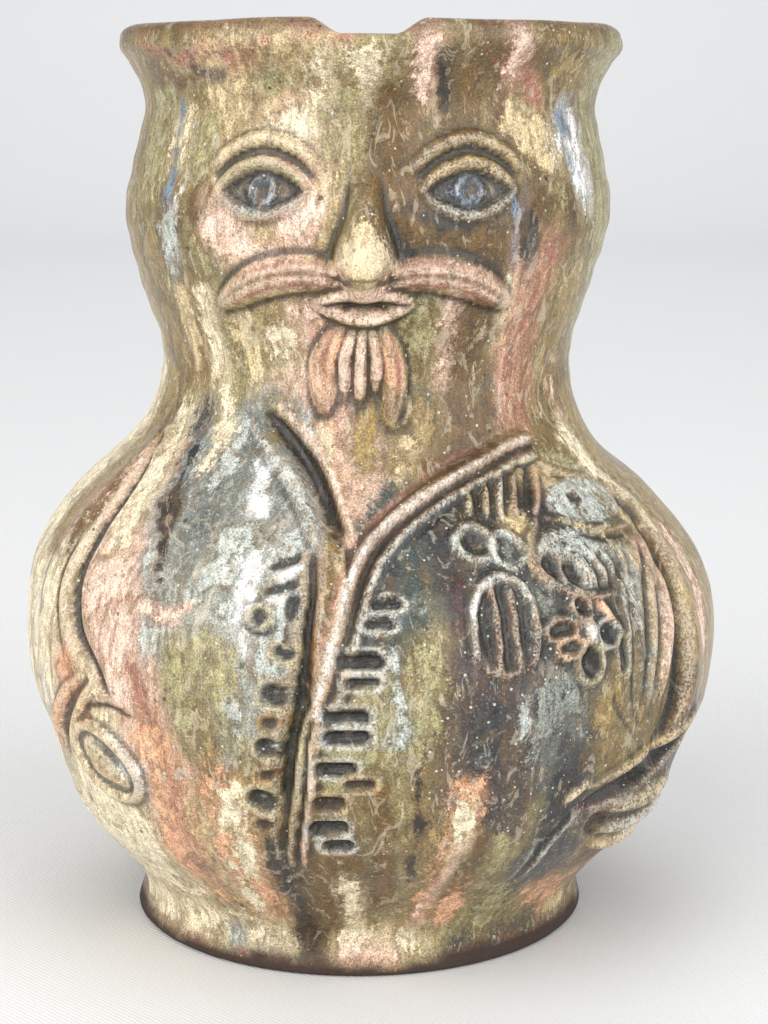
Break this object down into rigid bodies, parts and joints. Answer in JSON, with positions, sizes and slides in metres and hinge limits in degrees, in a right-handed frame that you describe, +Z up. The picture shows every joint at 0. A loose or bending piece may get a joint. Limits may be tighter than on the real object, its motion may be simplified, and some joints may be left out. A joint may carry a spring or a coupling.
{
  "type": "pitcher",
  "caption": "Round-bellied glazed stoneware pitcher with a face and a buttoned coat modelled on it, a pinched lip and a strap handle.",
  "frame": {"origin": "centre of the flat underside, on the surface that the pitcher stands on", "axes": "+Z up out of the mouth, -Y the side of the face and the pouring lip, +Y the handle, +X to the right as seen from the front"},
  "size_m": [0.1954, 0.2074, 0.25],
  "materials": {
    "glaze": "thick glaze run in cream, olive, pink, slate and rust, glossy to satin, with pinholes; bare dark clay at the foot ring"
  },
  "bodies": {
    "root": {"owl_pitcher": "glaze"}
  },
  "joints": []
}
